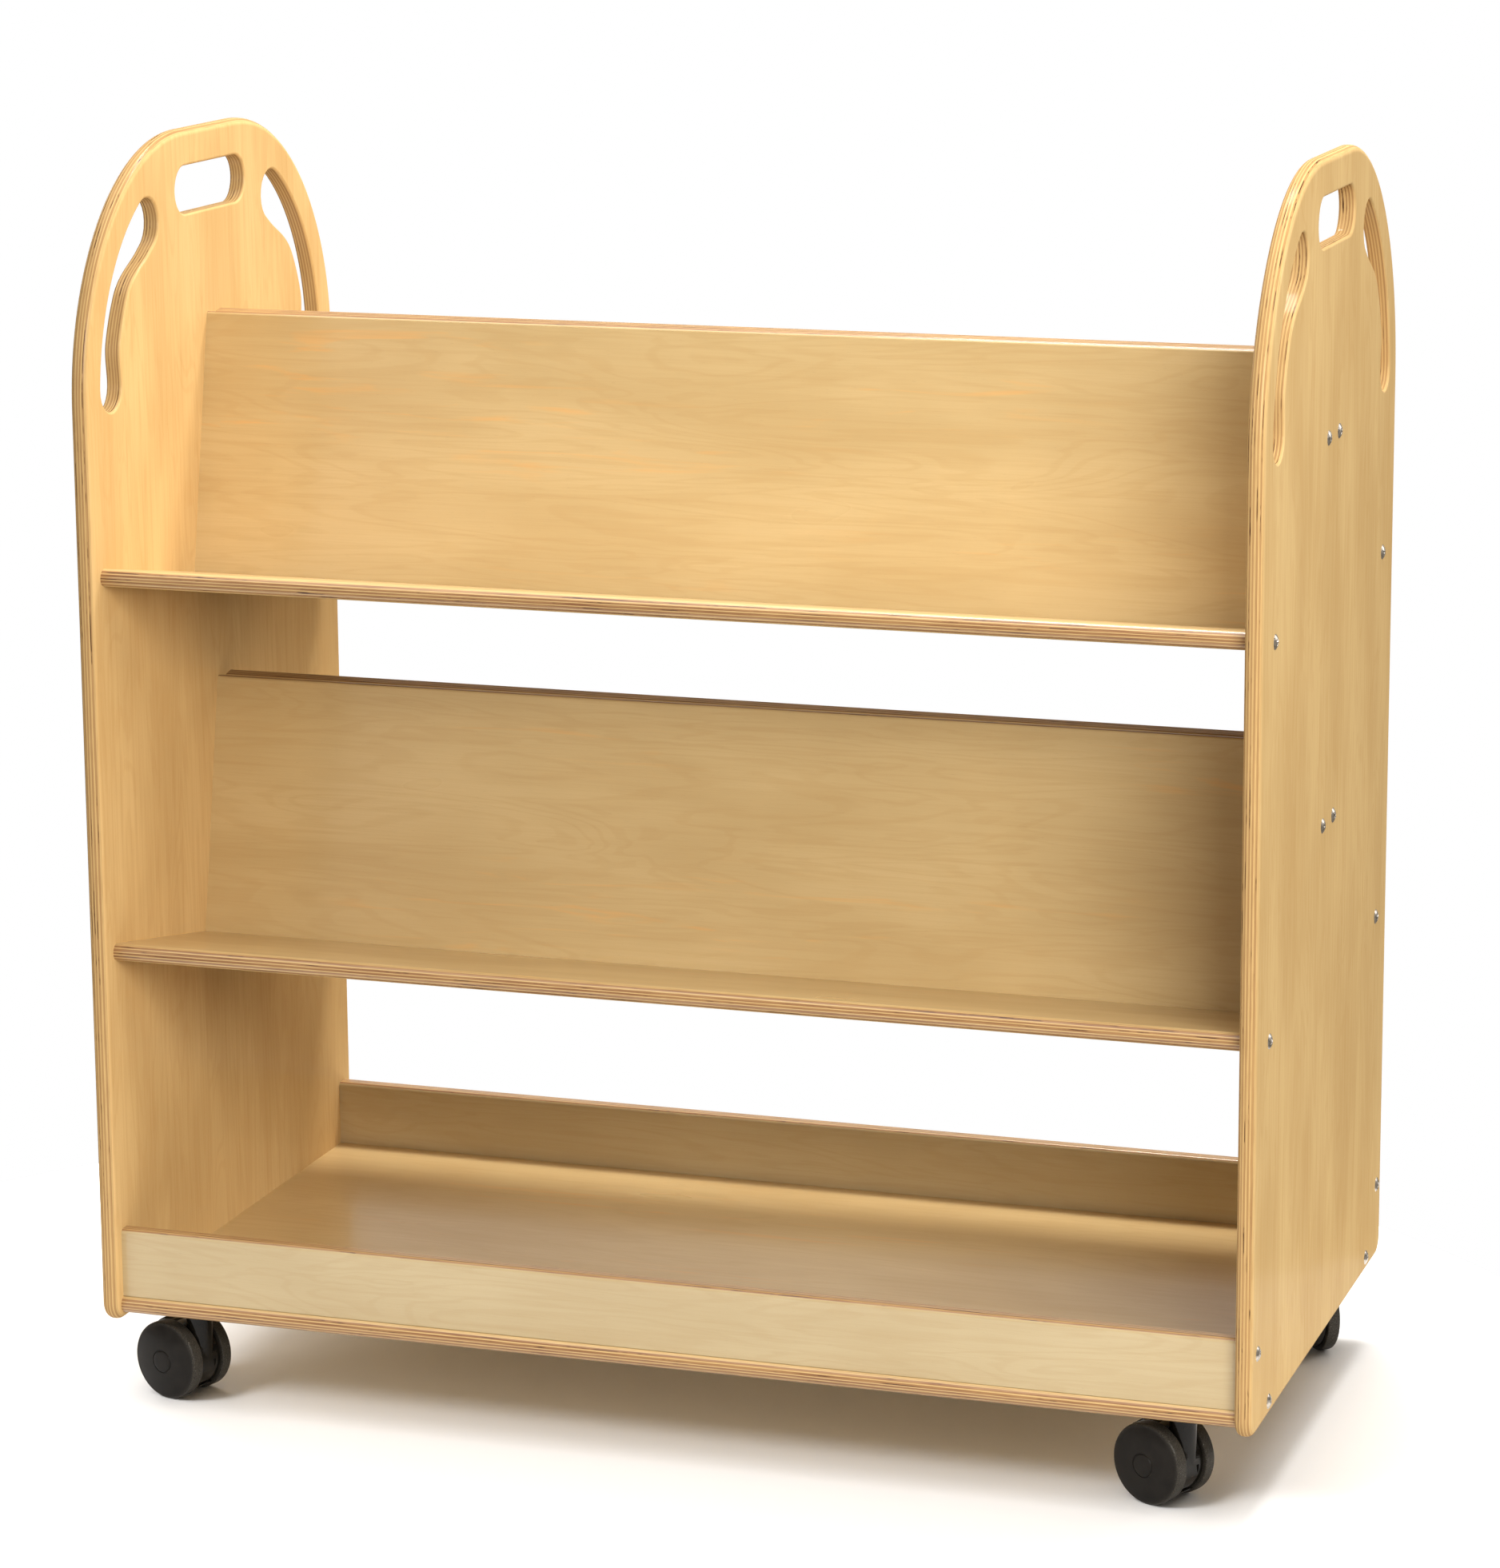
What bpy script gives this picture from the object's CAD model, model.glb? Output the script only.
"""Looks of the book cart: lacquered birch boards, steel screws and black twin-wheel casters."""

import math

import bpy
import numpy as np
from mathutils import Matrix, Vector, geometry


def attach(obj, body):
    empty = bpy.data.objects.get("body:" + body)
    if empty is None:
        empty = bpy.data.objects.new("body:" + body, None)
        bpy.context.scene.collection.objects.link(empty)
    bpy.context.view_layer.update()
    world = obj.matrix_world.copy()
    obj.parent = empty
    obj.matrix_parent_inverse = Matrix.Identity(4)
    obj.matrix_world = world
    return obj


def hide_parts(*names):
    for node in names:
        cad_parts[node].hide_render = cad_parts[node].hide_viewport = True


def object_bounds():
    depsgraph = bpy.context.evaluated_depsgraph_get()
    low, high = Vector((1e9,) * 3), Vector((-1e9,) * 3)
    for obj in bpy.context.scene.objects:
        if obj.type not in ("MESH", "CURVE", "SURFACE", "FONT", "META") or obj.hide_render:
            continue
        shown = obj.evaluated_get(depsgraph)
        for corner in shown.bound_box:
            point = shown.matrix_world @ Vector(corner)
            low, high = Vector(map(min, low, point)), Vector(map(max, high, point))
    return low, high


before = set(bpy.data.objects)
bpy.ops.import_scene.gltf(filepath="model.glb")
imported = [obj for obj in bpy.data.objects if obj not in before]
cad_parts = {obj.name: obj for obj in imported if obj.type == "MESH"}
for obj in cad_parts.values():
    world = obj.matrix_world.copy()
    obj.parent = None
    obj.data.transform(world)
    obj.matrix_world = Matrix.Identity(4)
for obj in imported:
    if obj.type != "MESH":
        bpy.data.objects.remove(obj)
CAD_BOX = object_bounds()
MM = 0.001

# the cart's sizes in mm, as in the CAD
PLY = 15.0
HALF_W = 514.0  # half the width over the end panels
INNER = HALF_W - PLY  # half the width between them
LEAN = math.radians(10.5)  # the slope of the shelves
CREASE_Y = 57.6  # from the middle plane to the crease between a shelf and its back
CREASES = {"upper": 711.0, "lower": 382.0}  # heights of the creases
SHELF_DEPTH, BACK_HEIGHT = 190, 231
FLOOR_LOW, FLOOR_TOP, FLOOR_HALF = 84, 99, 254
RAIL_TOP, RAIL_HALF = 160, 249.0


# ---------------------------------------------------------------- node helpers

MIX_A, MIX_B, MIX_RESULT = 6, 7, 2  # a Mix node's colour sockets


def shade(colour, by):
    return tuple(c * by for c in colour)


class Tree:
    """Short calls for building a material's nodes."""

    def __init__(self, name):
        self.material = bpy.data.materials.new(name)
        self.material.use_nodes = True
        self.tree = self.material.node_tree
        self.shader = self.tree.nodes["Principled BSDF"]

    def put(self, socket, value):
        if value is None:
            return
        if isinstance(value, bpy.types.NodeSocket):
            self.tree.links.new(value, socket)
        else:
            socket.default_value = value

    def node(self, kind, *inputs, named=None, **settings):
        """A new node, its sockets filled in order or by name, and its settings."""
        made = self.tree.nodes.new(kind)
        for key, value in settings.items():
            setattr(made, key, value)
        for socket, value in zip(made.inputs, inputs):
            self.put(socket, value)
        for name, value in (named or {}).items():
            self.put(made.inputs[name], value)
        return made

    def math(self, operation, a, b=None, c=None):
        return self.node("ShaderNodeMath", a, b, c, operation=operation).outputs[0]

    def times(self, a, b):
        return self.math("MULTIPLY", a, b)

    def step(self, value, low, high, start=0.0, end=1.0):
        """A smooth ramp of value from start at low to end at high."""
        sockets = {"Value": value, "From Min": low, "From Max": high,
                   "To Min": start, "To Max": end}
        made = self.node("ShaderNodeMapRange", named=sockets, interpolation_type="SMOOTHSTEP")
        return made.outputs["Result"]

    def vector(self, x, y, z):
        return self.node("ShaderNodeCombineXYZ", x, y, z).outputs[0]

    def stretched(self, vector, along, across):
        """A place scaled so that a noise has features this long and this wide."""
        by = (1 / along, 1 / across, 1)
        return self.node("ShaderNodeVectorMath", vector, by, operation="MULTIPLY").outputs[0]

    def noise(self, vector, detail=2.0, roughness=0.5, distortion=0.0, scale=1.0):
        sockets = {"Vector": vector, "Scale": scale, "Detail": detail,
                   "Roughness": roughness, "Distortion": distortion}
        return self.node("ShaderNodeTexNoise", named=sockets).outputs["Fac"]

    def mix(self, factor, a, b):
        made = self.node("ShaderNodeMix", named={"Factor": factor}, data_type="RGBA")
        for index, value in ((MIX_A, a), (MIX_B, b)):
            self.put(made.inputs[index], (*value, 1.0) if isinstance(value, tuple) else value)
        return made.outputs[MIX_RESULT]

    def bump(self, height, strength, distance, normal=None):
        sockets = {"Height": height, "Strength": strength, "Distance": distance, "Normal": normal}
        return self.node("ShaderNodeBump", named=sockets).outputs["Normal"]

    def finish(self, **sockets):
        for name, value in sockets.items():
            self.put(self.shader.inputs[name.replace("_", " ")], value)
        return self.material


# ---------------------------------------------------------------- materials

PLIES = 11  # in a board's thickness
EDGE_LIGHT, EDGE_BROWN, EDGE_DARK = (0.53, 0.35, 0.15), (0.335, 0.182, 0.072), (0.20, 0.085, 0.033)
EDGE_FIBRE, EDGE_GLUE, EDGE_GAP = (0.34, 0.185, 0.072), (0.13, 0.052, 0.022), (0.050, 0.018, 0.010)
STREAK = (0.72, 0.36, 0.10)
DUST, RUBBED, GLINT = (0.060, 0.053, 0.044), (0.135, 0.122, 0.10), (0.30, 0.28, 0.24)


def birch(name, light, dark, coat, shine=0.3, streak=0.0, brown_half=0.36, fibres=0.20, plies=1.0):
    """Lacquered birch plywood. The mesh's board attribute holds, in mm, the place along the
    grain, across it and through the thickness, so faces show veneer and edges show the plies.
    light and dark are the veneer's tones, streak, fibres and plies say how strongly each shows,
    and brown_half is half of the brown ply's share of a pair of plies."""
    t = Tree(name)
    place = t.node("ShaderNodeAttribute", attribute_name="board").outputs["Vector"]
    u, v, w = t.node("ShaderNodeSeparateXYZ", place).outputs
    flat = t.vector(u, v, 0.0)

    # face veneer: broad lustre, long rotary-cut figure, fine fibres and short pores
    lustre = t.noise(t.stretched(flat, 230, 75), detail=2)
    warped = t.noise(t.stretched(flat, 330, 46), detail=3, roughness=0.45, distortion=0.9)
    rings = t.math("SINE", t.times(warped, 62.0))
    figure = t.step(rings, 0.1, 1.0)
    fibre = t.noise(t.stretched(flat, 55, 1.1), detail=5, roughness=0.65)
    bands = t.noise(t.stretched(flat, 300, 5.5), detail=4, roughness=0.65)
    pores = t.noise(t.stretched(flat, 7.5, 0.55), detail=1)
    brown = tuple(c * k for c, k in zip(dark, (0.86, 0.76, 0.62)))
    colour = t.mix(t.step(lustre, 0.3, 0.7), light, dark)
    colour = t.mix(t.times(figure, 0.17), colour, brown)
    colour = t.mix(t.step(bands, 0.42, 0.72, 0.0, fibres), colour, brown)
    colour = t.mix(t.step(fibre, 0.35, 0.75, 0.0, 0.8 * fibres), colour, brown)
    colour = t.mix(t.step(pores, 0.68, 0.78, 0.0, 0.20), colour, shade(dark, 0.5))
    if streak:
        along = t.noise(t.stretched(flat, 150, 13), detail=3, roughness=0.55, distortion=1.1)
        where = t.step(t.noise(t.stretched(flat, 420, 120), detail=0), 0.48, 0.62)
        colour = t.mix(t.times(t.step(along, 0.56, 0.72, 0.0, streak), where), colour, STREAK)

    # plies: pale and brown ones in turn, uneven in width and tone, with glue lines and dark gaps
    run = t.math("ADD", u, v)
    wander = t.noise(t.vector(t.times(run, 1 / 420), t.times(w, 0.33), 4.0), detail=1)
    first_ply = t.math("MULTIPLY_ADD", wander, 1.2, 4.9)
    depth = t.math("ADD", first_ply, t.math("DIVIDE", w, PLY / PLIES))
    pair = t.math("FRACT", t.times(depth, 0.5))
    layer = t.math("FLOOR", depth)
    centre = t.math("ABSOLUTE", t.math("SUBTRACT", pair, 0.5))
    brown_ply = t.step(centre, brown_half, brown_half - 0.08, 0.0, plies)
    tone_place = t.vector(t.times(run, 1 / 85), t.times(layer, 7.31), 0.0)
    tone = t.step(t.noise(tone_place, detail=3, roughness=0.6), 0.36, 0.68)
    fuzz = t.noise(t.vector(t.times(run, 1 / 24), t.times(depth, 2.2), 3.0), detail=4)
    edge = t.mix(brown_ply, EDGE_LIGHT, t.mix(tone, EDGE_BROWN, EDGE_DARK))
    edge = t.mix(t.step(fuzz, 0.42, 0.7, 0.0, 0.42), edge, EDGE_FIBRE)
    glue = t.times(t.step(centre, brown_half - 0.10, brown_half - 0.05),
                   t.step(centre, brown_half, brown_half - 0.04))
    edge = t.mix(t.times(glue, 0.35), edge, EDGE_GLUE)
    gap_place = t.vector(t.times(run, 1 / 62), t.times(layer, 11.7), 9.0)
    gap_noise = t.noise(gap_place, detail=4, roughness=0.6)
    gaps = t.times(t.step(gap_noise, 0.57, 0.65), t.step(centre, 0.24, 0.13))
    edge = t.mix(gaps, edge, EDGE_GAP)
    inside = t.step(t.math("ABSOLUTE", w), PLY / 2 - 0.75, PLY / 2 - 1.05)
    colour = t.mix(inside, colour, edge)

    rough = t.math("ADD", t.step(lustre, 0.2, 0.8, 0.27, 0.36), t.times(inside, 0.10))
    grain = t.math("ADD", t.times(fibre, 0.6), t.times(pores, 0.4))
    ridges = t.times(inside, t.math("SUBTRACT", brown_ply, gaps))
    normal = t.bump(ridges, 0.12, 0.0002, t.bump(grain, 0.10, 0.0004))
    return t.finish(Base_Color=colour, Roughness=rough, Normal=normal, Coat_Weight=coat,
                    Coat_Roughness=0.16, IOR=1.5, Specular_IOR_Level=shine)


def steel(name, colour, rough):
    """Turned or pressed steel with smudges and a fine mottle."""
    t = Tree(name)
    place = t.node("ShaderNodeTexCoord").outputs["Object"]
    smudge = t.noise(place, detail=3, scale=420)
    fine = t.noise(place, detail=4, roughness=0.7, scale=3200)
    tone = t.mix(t.step(smudge, 0.35, 0.7), shade(colour, 0.72), colour)
    tone = t.mix(t.step(fine, 0.55, 0.8, 0.0, 0.35), tone, shade(colour, 0.55))
    roughness = t.step(smudge, 0.3, 0.7, rough * 0.8, rough * 1.35)
    normal = t.bump(fine, 0.15, 0.0001)
    return t.finish(Base_Color=tone, Metallic=1.0, Roughness=roughness, Normal=normal)


def nylon(name, base, rough, shine, scuff=0.0, coat=0.0):
    """Moulded black nylon. The mesh's wear attribute says where it is scuffed."""
    t = Tree(name)
    place = t.node("ShaderNodeTexCoord").outputs["Object"]
    grain = t.noise(place, detail=3, roughness=0.6, scale=2600)
    cloud = t.noise(place, detail=3, scale=90)
    dust = t.noise(place, detail=4, roughness=0.7, scale=700)
    colour = t.mix(t.step(cloud, 0.3, 0.7), base, shade(base, 1.5))
    colour = t.mix(t.step(dust, 0.58, 0.75, 0.0, 0.20), colour, DUST)
    roughness = t.step(cloud, 0.3, 0.7, rough * 0.85, rough * 1.2)
    if scuff:
        wear = t.node("ShaderNodeAttribute", attribute_name="wear").outputs["Fac"]
        scratches = t.noise(place, detail=4, roughness=0.7, scale=1300)
        rub = t.times(wear, t.step(scratches, 0.32, 0.72))
        colour = t.mix(t.times(rub, scuff), colour, RUBBED)
        glint = t.times(wear, t.step(t.noise(place, detail=1, scale=900), 0.70, 0.76))
        colour = t.mix(t.times(glint, 0.5), colour, GLINT)
        roughness = t.math("ADD", roughness, t.times(rub, 0.15))
    return t.finish(Base_Color=colour, Roughness=roughness, Normal=t.bump(grain, 0.16, 0.00008),
                    IOR=1.5, Specular_IOR_Level=shine, Coat_Weight=coat, Coat_Roughness=0.14)


PANELS = {
    "left": birch("birch_left_panel", (0.66, 0.445, 0.198), (0.575, 0.372, 0.156), 0.15,
                  shine=0.0, brown_half=0.28, fibres=0.30, plies=0.62),
    "right": birch("birch_right_panel", (0.575, 0.405, 0.190), (0.50, 0.338, 0.150), 0.10,
                   shine=0.0, brown_half=0.28, fibres=0.30, plies=0.62)}
BOARD = birch("birch_board", (0.61, 0.44, 0.21), (0.54, 0.375, 0.17), 0.4, shine=0.4, streak=0.35)
BACK = birch("birch_back", (0.575, 0.42, 0.205), (0.51, 0.36, 0.165), 0.6, streak=0.40)
RAIL = birch("birch_rail", (0.485, 0.38, 0.213), (0.445, 0.34, 0.183), 0.6)
SCREW = steel("screw_steel", (0.64, 0.59, 0.53), 0.30)
PIN = steel("pin_steel", (0.52, 0.52, 0.53), 0.32)
PLATE = steel("plate_steel", (0.40, 0.40, 0.41), 0.42)
HOUSING = nylon("housing_nylon", (0.0048, 0.0041, 0.0032), 0.12, 0.22)
WHEEL = nylon("wheel_nylon", (0.0078, 0.0064, 0.0050), 0.38, 0.10, scuff=0.45, coat=0.08)
LEVER = nylon("lever_nylon", (0.0068, 0.0058, 0.0048), 0.22, 0.30)


# ---------------------------------------------------------------- mesh helpers

def veneer_place(along, across, through, seed):
    """The board attribute's value. Each seed cuts the board from another part of the veneer."""
    return (along + seed * 611.0, across + seed * 173.0, through)


def new_object(name, mesh):
    piece = bpy.data.objects.new(name, mesh)
    bpy.context.scene.collection.objects.link(piece)
    return piece


class Surface:
    """Vertices in mm with their veneer places, and faces with a normal at each corner."""

    def __init__(self):
        self.points, self.faces, self.normals, self.values = [], [], [], []

    def vertex(self, point, value):
        self.points.append(tuple(point))
        self.values.append(tuple(value))
        return len(self.points) - 1

    def face(self, corners, normals):
        self.faces.append(tuple(corners))
        self.normals.extend(tuple(n) for n in normals)

    def build(self, name, material, place=None):
        mesh = bpy.data.meshes.new(name)
        points = np.array(self.points, float)
        normals = np.array(self.normals, float)
        if place is not None:
            turn = np.array(place.to_3x3(), float)
            points = points @ turn.T + np.array(place.translation, float)
            normals = normals @ turn.T
        mesh.from_pydata((points * MM).tolist(), [], self.faces)
        mesh.shade_smooth()
        mesh.attributes.new("board", "FLOAT_VECTOR", "POINT")
        values = np.array(self.values, np.float32).ravel()
        mesh.attributes["board"].data.foreach_set("vector", values)
        mesh.materials.append(material)
        mesh.update()
        mesh.normals_split_custom_set(normals.tolist())
        return new_object(name, mesh)


def mesh_object(name, points, faces, material, sharp, place=Matrix.Identity(4)):
    """A smooth mesh in mm with its own sharp edges, moved to its place."""
    mesh = bpy.data.meshes.new(name)
    turn = np.array(place.to_3x3(), float)
    moved = np.array(points, float) @ turn.T + np.array(place.translation, float)
    mesh.from_pydata((moved * MM).tolist(), [], faces)
    mesh.shade_smooth()
    mesh.set_sharp_from_angle(angle=math.radians(sharp))
    mesh.materials.append(material)
    return new_object(name, mesh)


def stand_for(piece, node, body):
    """The piece takes the place of a CAD node and moves with its body."""
    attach(piece, body)
    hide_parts(node)
    return piece


def rounded(corners, radii, steps=8):
    """A closed profile with rounded corners: (point, outward normal) pairs, counterclockwise."""
    out = []
    count = len(corners)
    for i in range(count):
        here = np.array(corners[i], float)
        back = np.array(corners[i - 1], float) - here
        ahead = np.array(corners[(i + 1) % count], float) - here
        back /= np.linalg.norm(back)
        ahead /= np.linalg.norm(ahead)
        half = math.acos(max(-1.0, min(1.0, float(back @ ahead)))) / 2
        radius = radii[i]
        centre = here + (back + ahead) / np.linalg.norm(back + ahead) * radius / math.sin(half)
        start = here + back * radius / math.tan(half) - centre
        end = here + ahead * radius / math.tan(half) - centre
        a0 = math.atan2(start[1], start[0])
        a1 = math.atan2(end[1], end[0])
        while a1 < a0:
            a1 += 2 * math.pi
        for k in range(steps + 1):
            a = a0 + (a1 - a0) * k / steps
            n = np.array([math.cos(a), math.sin(a)])
            out.append((centre + radius * n, n))
    return out


def board(name, node, corners, radii, through, material, place=None, seed=0.0):
    """A board along X with its profile in Y and Z. through is the profile axis of its thickness."""
    profile = rounded(corners, radii)
    middle = sum(c[through] for c in corners) / len(corners)
    across = 1 - through
    surface = Surface()
    left, right = ([surface.vertex((x, point[0], point[1]),
                                   veneer_place(x, point[across], point[through] - middle, seed))
                    for point, _ in profile] for x in (-INNER, INNER))
    count = len(profile)
    for i in range(count):
        j = (i + 1) % count
        ni = (0.0, *profile[i][1])
        nj = (0.0, *profile[j][1])
        surface.face((left[i], left[j], right[j], right[i]), (ni, nj, nj, ni))
    surface.face(right, [(1.0, 0.0, 0.0)] * count)
    surface.face(left[::-1], [(-1.0, 0.0, 0.0)] * count)
    return stand_for(surface.build(name, material, place), node, "cart")


# ---------------------------------------------------------------- end panels

PANEL_HALF, PANEL_FOOT, CORNER_R = 263, 77.5, 18  # half the depth, the low end, its corners
SHOULDER_Z, SHOULDER_WIDE, SHOULDER_HIGH = 882, 208, 220  # the quarter ellipses at the top
HAND_LENGTH, HAND_HEIGHT, HAND_MIDDLE = 146.0, 42.0, 1049.0
OUTER_ROUND, HOLE_ROUND = 6.5, 2.4  # radii of the eased edges


def with_normals(points):
    """A closed counterclockwise loop with its outward normals."""
    points = np.array(points, float)
    along = np.roll(points, -1, axis=0) - np.roll(points, 1, axis=0)
    along /= np.linalg.norm(along, axis=1)[:, None]
    return points, np.stack([along[:, 1], -along[:, 0]], axis=1)


def shoulder(angle, inset):
    """A point on the panel's elliptic shoulder, or on the same curve moved inwards."""
    return (PANEL_HALF - SHOULDER_WIDE + (SHOULDER_WIDE - inset) * math.cos(angle),
            SHOULDER_Z + (SHOULDER_HIGH - inset) * math.sin(angle))


def outline_loop():
    """The panel's outline: rounded lower corners, straight sides and two shoulders."""
    y, z = PANEL_HALF - CORNER_R, PANEL_FOOT + CORNER_R
    corner = [(y + CORNER_R * math.cos(a), z + CORNER_R * math.sin(a))
              for a in np.linspace(-math.pi / 2, 0, 13)]
    side = corner + [shoulder(a, 0) for a in np.linspace(0, math.pi / 2, 61)]
    return with_normals(side + [(-y, z) for y, z in reversed(side)])


def hand_loop():
    r = HAND_HEIGHT / 2
    reach = HAND_LENGTH / 2 - r
    right = [(reach + r * math.cos(a), HAND_MIDDLE + r * math.sin(a))
             for a in np.linspace(-math.pi / 2, math.pi / 2, 25)]
    return right + [(-y, 2 * HAND_MIDDLE - z) for y, z in right]


def ease(u):
    """0 below 0, 1 above 1, and a cosine between."""
    return (1 - math.cos(math.pi * min(1.0, max(0.0, u)))) / 2


def round_end(p, q, count=12):
    """The points of a half circle between two ends, without the ends."""
    p, q = np.array(p), np.array(q)
    middle, r = (p + q) / 2, np.linalg.norm(p - q) / 2
    first = math.atan2(p[1] - middle[1], p[0] - middle[0])
    angles = [first + math.pi * i / count for i in range(1, count)]
    return [(middle[0] + r * math.cos(a), middle[1] + r * math.sin(a)) for a in angles]


def crescent_loop(steps=48):
    """The cut-out beside the hand hole, which follows the shoulder and is wider at its ends."""
    start, end, rim = math.radians(4.6), math.radians(60.5), 30.5

    def width(t):
        return 33 + 12 * ease((t - 0.52) / 0.43) + 7.5 * (1 - ease(t / 0.25))

    share = [i / steps for i in range(steps + 1)]
    outer = [shoulder(start + (end - start) * t, rim) for t in share]
    inner = [shoulder(start + (end - start) * t, rim + width(t)) for t in reversed(share)]
    return outer + round_end(outer[-1], inner[0]) + inner + round_end(inner[-1], outer[0])


def within(point, edges):
    """Whether a point is inside the outline and outside its holes, by counting crossings."""
    y0, z0, y1, z1 = edges[:, 0, 0], edges[:, 0, 1], edges[:, 1, 0], edges[:, 1, 1]
    spans = (z0 > point[1]) != (z1 > point[1])
    rise = (point[1] - z0[spans]) * (y1[spans] - y0[spans]) / (z1[spans] - z0[spans])
    return np.count_nonzero(y0[spans] + rise > point[0]) % 2 == 1


def panel_faces(surface, rings, sign):
    """Fills one flat side of a panel between its outline and its holes."""
    flat, names, edges = [], [], []
    for ring in rings:
        first = len(flat)
        for i, vertex in enumerate(ring):
            flat.append(Vector(surface.points[vertex][1:]))
            names.append(vertex)
            edges.append((first + i, first + (i + 1) % len(ring)))
    _, _, faces, origins, _, _ = geometry.delaunay_2d_cdt(flat, edges, [], 0, 1e-6)
    ends = np.array([(flat[i], flat[j]) for i, j in edges])
    for face in faces:
        corners = [names[origins[c][0]] for c in face]
        a, b, c = (np.array(surface.points[v][1:]) for v in corners[:3])
        if not within((a + b + c) / 3, ends):
            continue
        turn = (b - a)[0] * (c - a)[1] - (b - a)[1] * (c - a)[0]
        if turn * sign < 0:
            corners.reverse()
        surface.face(corners, [(float(sign), 0.0, 0.0)] * len(corners))


def panel(hand, side, seed):
    """One end panel: bullnosed outline, and cut-outs whose edges are eased on both faces."""
    surface = Surface()
    middle = side * (HALF_W - PLY / 2)
    outer, normals = outline_loop()
    loops = [(outer, normals, OUTER_ROUND)]
    crescent = np.array(crescent_loop())
    mirrored = (crescent * np.array([-1.0, 1.0]))[::-1]
    for hole in (np.array(hand_loop()), crescent, mirrored):
        points, out = with_normals(hole)
        loops.append((points[::-1], -out[::-1], HOLE_ROUND))

    caps = {1: [], -1: []}
    angles = np.linspace(math.pi / 2, 0, 9)
    rows = [(1, a) for a in angles] + [(-1, a) for a in angles[::-1]]
    for points, out, radius in loops:
        rings, turned = [], []
        for sign, a in rows:
            x = sign * (PLY / 2 - radius + radius * math.sin(a))
            moved = points - out * radius * (1 - math.cos(a))
            rings.append([surface.vertex((middle + x, y, z), veneer_place(z, y, x, seed))
                          for y, z in moved])
            turned.append([(sign * math.sin(a), n[0] * math.cos(a), n[1] * math.cos(a))
                           for n in out])
        count = len(points)
        for k in range(len(rows) - 1):
            for i in range(count):
                j = (i + 1) % count
                corners = ((k, i), (k + 1, i), (k + 1, j), (k, j))
                surface.face([rings[m][n] for m, n in corners],
                             [turned[m][n] for m, n in corners])
        caps[1].append(rings[0])
        caps[-1].append(rings[-1])
    for sign, rings in caps.items():
        panel_faces(surface, rings, sign)
    piece = surface.build(f"{hand}_panel_board", PANELS[hand])
    return stand_for(piece, f"{hand}_end_panel", "cart")


panel("left", -1, 1.0)
panel("right", 1, 2.3)


# ---------------------------------------------------------------- shelves and tray

ROUND = PLY / 2 - 0.1  # the radius of an edge that is rounded over


def at_crease(crease, side):
    """A shelf unit's own frame: crease on the X axis, shelf along -Y, back up +Z. The rear
    unit is the front one turned about Z."""
    turned = Matrix.Identity(4) if side < 0 else Matrix.Rotation(math.pi, 4, "Z")
    return turned @ Matrix.Translation((0, -CREASE_Y, crease)) @ Matrix.Rotation(-LEAN, 4, "X")


SHELF = [(-SHELF_DEPTH, -PLY), (0, -PLY), (0, 0), (-SHELF_DEPTH, 0)]
SHELF_BACK = [(0, -PLY), (PLY, -PLY), (PLY, BACK_HEIGHT), (0, BACK_HEIGHT)]
FLOOR = [(-FLOOR_HALF, FLOOR_LOW), (FLOOR_HALF, FLOOR_LOW),
         (FLOOR_HALF, FLOOR_TOP), (-FLOOR_HALF, FLOOR_TOP)]
SIDES = (("front", -1), ("rear", 1))

seed = 3.0
for level, crease in CREASES.items():
    for face, side in SIDES:
        place = at_crease(crease, side)
        seed += 1.37
        board(f"{level}_{face}_shelf_board", f"{level}_{face}_shelf", SHELF,
              (ROUND, 0.4, 0.4, ROUND), 1, BOARD, place, seed)
        seed += 1.37
        board(f"{level}_{face}_back_board", f"{level}_{face}_back", SHELF_BACK,
              (0.6, 0.8, 3.0, 3.0), 0, BACK, place, seed)

board("tray_floor_board", "tray_floor", FLOOR, (ROUND,) * 4, 1, BOARD, None, 17.1)
for face, side in SIDES:
    low, high = sorted((side * RAIL_HALF, side * (RAIL_HALF - PLY)))
    board(f"tray_{face}_rail_board", f"tray_{face}_rail",
          [(low, FLOOR_TOP), (high, FLOOR_TOP), (high, RAIL_TOP), (low, RAIL_TOP)],
          (0.5, 0.5, 4.0, 4.0), 0, RAIL, None, 19.0 + side)


# ---------------------------------------------------------------- screws

HEAD_R, HEAD_H = 6.5, 2.5
HEAD_RADII = [0.0, 0.35, 0.7, 1.0, 1.3, 1.6, 1.9, 2.2, 2.5, 2.8,
              3.1, 3.4, 3.9, 4.5, 5.1, 5.7, 6.1, 6.35, HEAD_R]
ARM_HALF, ARM_REACH = 0.95, 3.3  # the cross recess


def dome_height(r, angle):
    """Height of a domed head above the board, with its tapered cross recess, at a polar place."""
    sphere = (HEAD_R ** 2 + HEAD_H ** 2) / (2 * HEAD_H)
    top = math.sqrt(max(sphere ** 2 - r * r, 0.0)) - (sphere - HEAD_H)
    x, y = abs(r * math.cos(angle)), abs(r * math.sin(angle))
    arms = [ease((ARM_HALF - q) / 0.45) * ease((ARM_REACH - p) / 0.9) for p, q in ((x, y), (y, x))]
    deep = 1.0 + 0.8 * ease((1.6 - r) / 1.2)
    return top - deep * max(arms)


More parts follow.
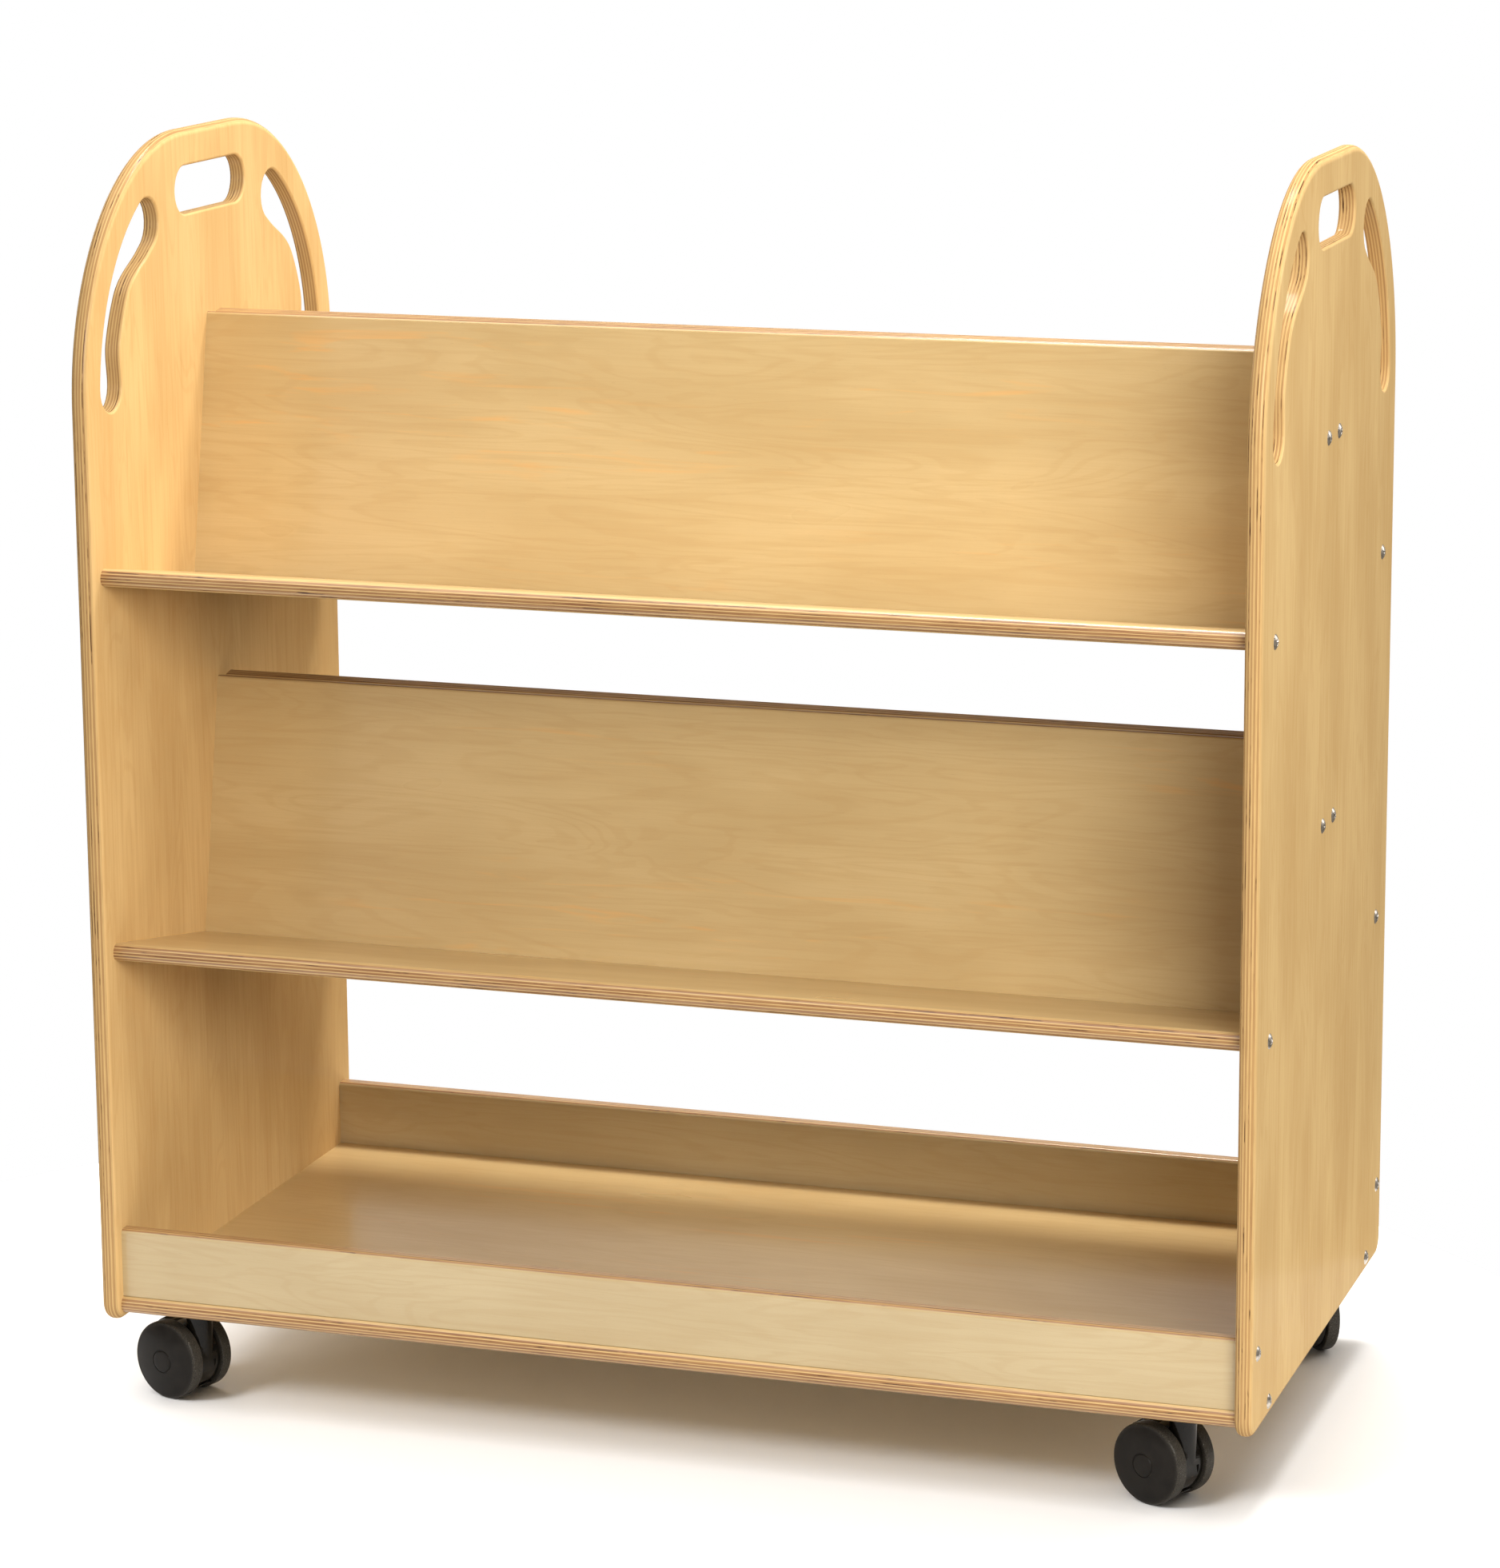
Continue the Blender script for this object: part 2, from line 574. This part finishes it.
def screw_heads(hand, side, places, around=56):
    """The domed heads of one panel's screws, each turned another way."""
    points, faces = [], []
    for index, (y, z) in enumerate(places):
        twist = 0.35 + index * 1.13
        rings = []
        for r in HEAD_RADII:
            ring = []
            for k in range(around if r else 1):
                a = 2 * math.pi * k / around
                ring.append(len(points))
                points.append((side * (HALF_W + max(dome_height(r, a), 0.0)),
                               y + r * math.cos(a + twist), z + side * r * math.sin(a + twist)))
            rings.append(ring)
        for inner, outer in zip(rings, rings[1:]):
            for k in range(around):
                j = (k + 1) % around
                faces.append((inner[0], outer[k], outer[j]) if len(inner) == 1
                             else (inner[k], outer[k], outer[j], inner[j]))
        faces.append(tuple(reversed(rings[-1])))
    piece = mesh_object(f"{hand}_panel_screw_heads", points, faces, SCREW, 50)
    return stand_for(piece, f"{hand}_panel_screws", "cart")


def leaned(out, up, crease):
    """A place in a front unit's own frame, as distance from the middle plane and height."""
    return (CREASE_Y + out * math.cos(LEAN) - up * math.sin(LEAN),
            crease + out * math.sin(LEAN) + up * math.cos(LEAN))


BACK_SCREW, SHELF_SCREW = 161, 158  # from the crease, up the back and out along the shelf
RAIL_SCREW, FLOOR_SCREW = 48, 198.0  # above the tray's floor, and out from the middle plane
PLACES = [leaned(-PLY / 2, BACK_SCREW, crease) for crease in CREASES.values()]
PLACES += [leaned(SHELF_SCREW, -PLY / 2, crease) for crease in CREASES.values()]
PLACES += [(RAIL_HALF - PLY / 2, FLOOR_TOP + RAIL_SCREW), (FLOOR_SCREW, FLOOR_LOW + PLY / 2)]
PLACES = [(s * y, z) for s in (-1, 1) for y, z in PLACES]
screw_heads("left", -1, PLACES)
screw_heads("right", 1, PLACES)


# ---------------------------------------------------------------- casters

# place in X and Y, direction at rest in degrees, and whether it has a brake
CASTERS = {"front_left": (-445, -210, 162, True), "front_right": (445, -210, 155, True),
           "rear_left": (-445, 210, 160, False), "rear_right": (445, 210, 305, False)}
TRAIL, WHEEL_R = 20.0, 35.0
AXLE = (TRAIL, WHEEL_R)
WHEEL_IN, WHEEL_OUT, FACE_R, FACE_DOME = 12.8, 24.5, 32.5, 4.5
BODY_HALF, DRUM_R, POCKET_R, BRAKE_ROOM = 12.0, 31.5, 28.5, 6.5
UNDERSIDE = 8
PAD_IN, PAD_OUT = 32.4, 36.0


def polar(centre, r, degrees):
    a = math.radians(degrees)
    return (centre[0] + r * math.cos(a), centre[1] + r * math.sin(a))


def arc(centre, r, start, end, steps):
    return [polar(centre, r, start + (end - start) * i / steps) for i in range(steps + 1)]


def circle(centre, r, steps):
    return arc(centre, r, 0, 360, steps)[:-1]


def lathe(profile, around):
    """Points and faces of an outline of (radius, height) turned about Z, from axis to axis."""
    points, rings, faces = [], [], []
    for r, z in profile:
        if r < 1e-6:
            rings.append([len(points)])
            points.append((0, 0, z))
        else:
            rings.append(list(range(len(points), len(points) + around)))
            angles = [2 * math.pi * k / around for k in range(around)]
            points += [(r * math.cos(a), r * math.sin(a), z) for a in angles]
    for a, b in zip(rings, rings[1:]):
        for k in range(around):
            j = (k + 1) % around
            corners = [a[k % len(a)], a[j % len(a)], b[j % len(b)], b[k % len(b)]]
            face = [c for i, c in enumerate(corners) if c not in corners[:i]]
            if len(face) > 2:
                faces.append(tuple(face))
    return points, faces


def wheel_profile():
    """From the hub on the inner side, out round the tread and over the domed face to its cap."""
    edge = WHEEL_OUT - WHEEL_IN
    sphere = (FACE_R ** 2 + FACE_DOME ** 2) / (2 * FACE_DOME)
    top = edge + FACE_DOME
    face = [(r, top - (sphere - math.sqrt(sphere ** 2 - r * r)))
            for r in np.linspace(FACE_R, 10.9, 14)]
    groove = face[-1][1]
    hub = [(0, edge - 1.6), (3.05, edge - 1.6), (3.05, 0.0), (8.2, 0.0), (8.6, 0.5)]
    well = [(8.9, edge - 3.2), (9.4, edge - 3.0), (27.6, edge - 3.0), (28.2, edge - 3.6),
            (29.3, 0.6), (29.7, 0.0)]
    tread = arc((34.0, 1.0), 1.0, -90, 0, 5) + [(WHEEL_R, 3.5), (WHEEL_R, 6.0)]
    tread += arc((32.4, edge - 2.5), 2.6, 0, 72, 8)
    cap = [(10.5, groove - 0.02), (10.2, groove - 0.55), (9.8, groove - 0.55), (9.5, top - 0.50),
           (9.2, top - 0.20), (8.6, top - 0.02), (6.0, top + 0.18), (3.0, top + 0.28),
           (0, top + 0.30)]
    return hub + well + tread + face + cap


def wheel(name, node, body, place):
    """One wheel, whose wear attribute rises towards the tread."""
    points, faces = lathe(wheel_profile(), 120)
    piece = mesh_object(name, points, [f[::-1] for f in faces], WHEEL, 38, place)
    wear = piece.data.attributes.new("wear", "FLOAT", "POINT")
    r = np.hypot(*np.array(points, float)[:, :2].T)
    wear.data.foreach_set("value", np.clip((r - 32.0) / 2.2, 0, 1).astype(np.float32))
    return stand_for(piece, node, body)


def tool(points, faces):
    mesh = bpy.data.meshes.new("tool")
    mesh.from_pydata(points, [], faces)
    return new_object("tool", mesh)


def solid(outline, half_width):
    """A closed outline in X and Z, counterclockwise seen from -Y, extruded across the caster."""
    count = len(outline)
    points = [(x, y, z) for y in (-half_width, half_width) for x, z in outline]
    faces = [tuple(range(count)), tuple(range(2 * count - 1, count - 1, -1))]
    faces += [(i, i + count, (i + 1) % count + count, (i + 1) % count) for i in range(count)]
    return tool(points, faces)


def block(x0, x1, z0, z1, half_width):
    return solid([(x0, z0), (x1, z0), (x1, z1), (x0, z1)], half_width)


def turned_solid(profile):
    return tool(*lathe(profile, 64))


def combined(base, tools):
    """Applies booleans in turn: (other object, operation), and deletes the tools."""
    for other, operation in tools:
        modifier = base.modifiers.new("cut", "BOOLEAN")
        modifier.object = other
        modifier.operation = operation
        modifier.solver = "EXACT"
    bpy.context.view_layer.update()
    shaped = base.evaluated_get(bpy.context.evaluated_depsgraph_get())
    mesh = bpy.data.meshes.new_from_object(shaped)
    base.modifiers.clear()
    base.data = mesh
    for other, _ in tools:
        bpy.data.objects.remove(other)
    return base


def eased(piece, name, material, place, width, body, node):
    """Moves a mesh in mm into place, and rounds its edges over."""
    piece.data.transform(Matrix.Scale(MM, 4) @ place)
    piece.name = piece.data.name = name
    piece.data.materials.clear()
    piece.data.materials.append(material)
    for polygon in piece.data.polygons:
        polygon.material_index = 0
    piece.data.shade_smooth()
    bevel = piece.modifiers.new("ease", "BEVEL")
    bevel.width = width * MM
    bevel.segments = 3
    bevel.limit_method = "ANGLE"
    bevel.angle_limit = math.radians(38)
    bevel.use_clamp_overlap = True
    bevel.harden_normals = False
    weighted = piece.modifiers.new("shade", "WEIGHTED_NORMAL")
    weighted.keep_sharp = True
    return stand_for(piece, node, body)


PIVOT = polar(AXLE, POCKET_R, 68)  # of the brake lever


def housing(name, node, body, place, braked):
    """The caster's body: a drum between the wheels, hollow on the trailing side, with its neck
    and lower lip. With a brake, the drum is cut back to leave room for the pad."""
    room = BRAKE_ROOM if braked else 0
    if braked:
        side = arc(AXLE, DRUM_R, 88, 352, 66) + arc(AXLE, DRUM_R - room, -8, 88, 24)
    else:
        side = circle(AXLE, DRUM_R, 96)
    drum = solid(side, BODY_HALF)
    reach = math.degrees(math.acos((12.5 - TRAIL) / (POCKET_R - room)))
    pocket = solid(arc(AXLE, POCKET_R - room, -reach, reach, 40), 9.5)
    boss = solid(circle(AXLE, 7, 32), 10.5)
    foot = block(-40, 80, -5, UNDERSIDE, 30)
    lip = solid([(TRAIL - 19.5, UNDERSIDE), (TRAIL + 12, UNDERSIDE),
                 (TRAIL + 12, 10.2), (TRAIL - 21.5, 10.2)], BODY_HALF)
    neck = turned_solid([(0, 35), (11.5, 35), (11.5, 72), (11.0, 76.5), (10.4, 77.9),
                         (10.4, 78.4), (11, 78.9), (10.6, 79.6), (0, 79.6)])
    recess = block(TRAIL - 40, TRAIL - 30.2, 23.0, 34.5, 7)
    bore = turned_solid([(0, 43.6), (5.05, 43.6), (5.05, 90), (0, 90)])
    tools = [(pocket, "DIFFERENCE"), (boss, "UNION"), (neck, "UNION"), (foot, "DIFFERENCE"),
             (lip, "UNION"), (recess, "DIFFERENCE"), (bore, "DIFFERENCE")]
    if braked:
        tools += [(solid(circle(PIVOT, 4.2, 24), BODY_HALF), "UNION"),
                  (solid(circle(PIVOT, 7, 32), 7.8), "DIFFERENCE")]
    return eased(combined(drum, tools), name, HOUSING, place, 0.5, body, node)


def brake(name, node, body, place):
    """The brake lever: a pad over the drum with a ribbed toe, and an arm to its pivot."""
    pad = solid(arc(AXLE, PAD_OUT, 6, 50, 20) + arc(AXLE, PAD_IN, 50, 6, 20), 11.5)
    toe = solid(arc(AXLE, PAD_OUT + 3, 6, 11, 3) + arc(AXLE, PAD_IN, 11, 6, 3), 11.5)
    arm = solid(arc(AXLE, PAD_OUT, 46, 64, 6) + [polar(AXLE, 28.5, 72), polar(AXLE, 27.5, 62)]
                + arc(AXLE, PAD_IN, 54, 46, 3), 7.5)
    hub = solid(circle(PIVOT, 4, 32), 7.5)
    pin = solid(circle(PIVOT, 1.55, 20), 20)
    tools = [(toe, "UNION"), (arm, "UNION"), (hub, "UNION"), (pin, "DIFFERENCE")]
    for a in (16, 21, 26):
        rib = arc(AXLE, PAD_OUT + 0.7, a, a + 2, 2) + arc(AXLE, PAD_OUT - 0.5, a + 2, a, 2)
        tools.append((solid(rib, 9.5), "UNION"))
    return eased(combined(pad, tools), name, LEVER, place, 0.4, body, node)


for corner, (x, y, turn, braked) in CASTERS.items():
    prefix = corner + "_caster_"
    swivel = Matrix.Translation((x, y, 0)) @ Matrix.Rotation(math.radians(turn), 4, "Z")
    housing(prefix + "housing", prefix + "body", prefix + "swivel", swivel, braked)
    for part, side in (("front_wheel", 1), ("rear_wheel", -1)):
        inner_face = Matrix.Translation((TRAIL, side * WHEEL_IN, WHEEL_R))
        place = swivel @ inner_face @ Matrix.Rotation(-side * math.pi / 2, 4, "X")
        wheel(prefix + part + "_disc", prefix + part, prefix + part, place)
    if braked:
        brake(prefix + "brake_pedal", prefix + "brake_lever", prefix + "brake", swivel)

for name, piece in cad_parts.items():
    if piece.hide_render:
        continue
    material = PLATE if name.endswith("_plate") else SCREW if name.endswith("screws") else PIN
    piece.data.materials.clear()
    piece.data.materials.append(material)


# ---------------------------------------------------------------- camera, light and floor

scene = bpy.context.scene
scene.view_settings.view_transform = "Standard"

camera = bpy.data.cameras.new("camera")
camera.sensor_fit = "VERTICAL"
camera.sensor_height = 36.0
camera.lens = 113.713
camera.shift_x = -0.032432
camera.shift_y = -0.050025
camera.clip_end = 100
eye = bpy.data.objects.new("camera", camera)
scene.collection.objects.link(eye)
yaw, pitch, roll = (math.radians(a) for a in (17.997, 11.787, -0.300))
forward = Vector((-math.sin(yaw) * math.cos(pitch), math.cos(yaw) * math.cos(pitch),
                  -math.sin(pitch)))
level = Vector((math.cos(yaw), math.sin(yaw), 0))
upright = level.cross(forward)
right = level * math.cos(roll) + upright * math.sin(roll)
up = upright * math.cos(roll) - level * math.sin(roll)
facing = Matrix((right, up, -forward)).transposed().to_4x4()
eye.matrix_world = Matrix.Translation((1.3491, -4.0073, 1.4895)) @ facing
scene.camera = eye

# white behind the cart, and a dim warm room in its reflections
world = bpy.data.worlds.new("studio")
scene.world = world
world.use_nodes = True
nodes, links = world.node_tree.nodes, world.node_tree.links
room = nodes["Background"]
room.inputs["Color"].default_value = (1.0, 0.91, 0.78, 1)
room.inputs["Strength"].default_value = 0.26
backdrop = nodes.new("ShaderNodeBackground")
backdrop.inputs["Color"].default_value = (1, 1, 1, 1)
backdrop.inputs["Strength"].default_value = 1.0
path = nodes.new("ShaderNodeLightPath")
blend = nodes.new("ShaderNodeMixShader")
links.new(path.outputs["Is Camera Ray"], blend.inputs[0])
links.new(room.outputs[0], blend.inputs[1])
links.new(backdrop.outputs[0], blend.inputs[2])
links.new(blend.outputs[0], nodes["World Output"].inputs["Surface"])


def lamp(name, kind, place, target, power, size, colour=(1, 1, 1)):
    """A sun, whose size is its angle, or a soft box, whose size is its two sides."""
    light = bpy.data.lights.new(name, kind)
    light.color = colour
    light.energy = power
    if kind == "SUN":
        light.angle = size
    else:
        light.shape = "RECTANGLE"
        light.size, light.size_y = size
    thing = bpy.data.objects.new(name, light)
    scene.collection.objects.link(thing)
    thing.visible_camera = False
    thing.location = place
    thing.rotation_euler = (Vector(target) - Vector(place)).to_track_quat("-Z", "Y").to_euler()
    return thing


WARM = (1.0, 0.98, 0.95)
MIDDLE = (0, 0, 0.6)
lamp("overhead", "SUN", (0, -0.25, 3), (0, 0, 0), 2.4, 1.1, (1.0, 0.99, 0.99))
key = lamp("key_box", "AREA", (1.65, -2.05, 1.6), (0.1, -0.1, 0.75), 74, (1.3, 1.1),
           (1.0, 0.985, 0.955))
fill = lamp("side_box", "AREA", (2.3, -0.5, 2.0), (0.5, 0, 0.8), 17, (1.0, 1.0),
            (1.0, 0.97, 0.92))
wash = lamp("floor_wash", "SUN", (-0.6, -0.8, 0.85), (0, 0, 0), 1.5, 0.3)
lamp("left_box", "AREA", (-2.4, -2.4, 1.3), MIDDLE, 18, (1.6, 1.6), WARM)
lamp("rear_left_box", "AREA", (-2.9, 1.9, 1.5), MIDDLE, 34, (1.4, 1.4), WARM)
lamp("rear_right_box", "AREA", (2.9, 2.2, 1.7), MIDDLE, 24, (1.4, 1.4), WARM)
lamp("top_rear_box", "AREA", (0.2, 0.92, 3.0), (0.1, 0.2, 0.3), 85, (1.5, 0.5), WARM)
lamp("backdrop_glow", "AREA", (-1.3, 3.2, 1.3), (-1.3, 0, 1.3), 13, (4.4, 2.2), WARM)

# the floor is a disc of white paper, nearly as bright as the white behind it
FLOOR_X, FLOOR_Y, FLOOR_R, FLOOR_SIDES = -0.1, -0.2, 0.95, 96
turns = [2 * math.pi * k / FLOOR_SIDES for k in range(FLOOR_SIDES)]
rim = [(FLOOR_X + FLOOR_R * math.cos(a), FLOOR_Y + FLOOR_R * math.sin(a), 0) for a in turns]
floor_mesh = bpy.data.meshes.new("studio_floor")
floor_mesh.from_pydata(rim, [], [tuple(range(FLOOR_SIDES))])
floor = bpy.data.objects.new("studio_floor", floor_mesh)
scene.collection.objects.link(floor)
paper = Tree("studio_paper")
speck = paper.noise(paper.node("ShaderNodeTexCoord").outputs["Object"], detail=2, scale=30)
white = paper.mix(speck, (0.925, 0.925, 0.925), (0.935, 0.935, 0.935))
floor_mesh.materials.append(paper.finish(Base_Color=white, Roughness=0.9))

# the two boxes on the right don't reach the floor, so the cart's shadow stays round its feet,
# and a weak sun that reaches nothing else lights the floor instead
unlit = bpy.data.collections.new("flagged")
unlit.objects.link(floor)
unlit.collection_objects[0].light_linking.link_state = "EXCLUDE"
for light in (key, fill):
    light.light_linking.receiver_collection = unlit
paper_only = bpy.data.collections.new("washed")
paper_only.objects.link(floor)
wash.light_linking.receiver_collection = paper_only

low, high = CAD_BOX
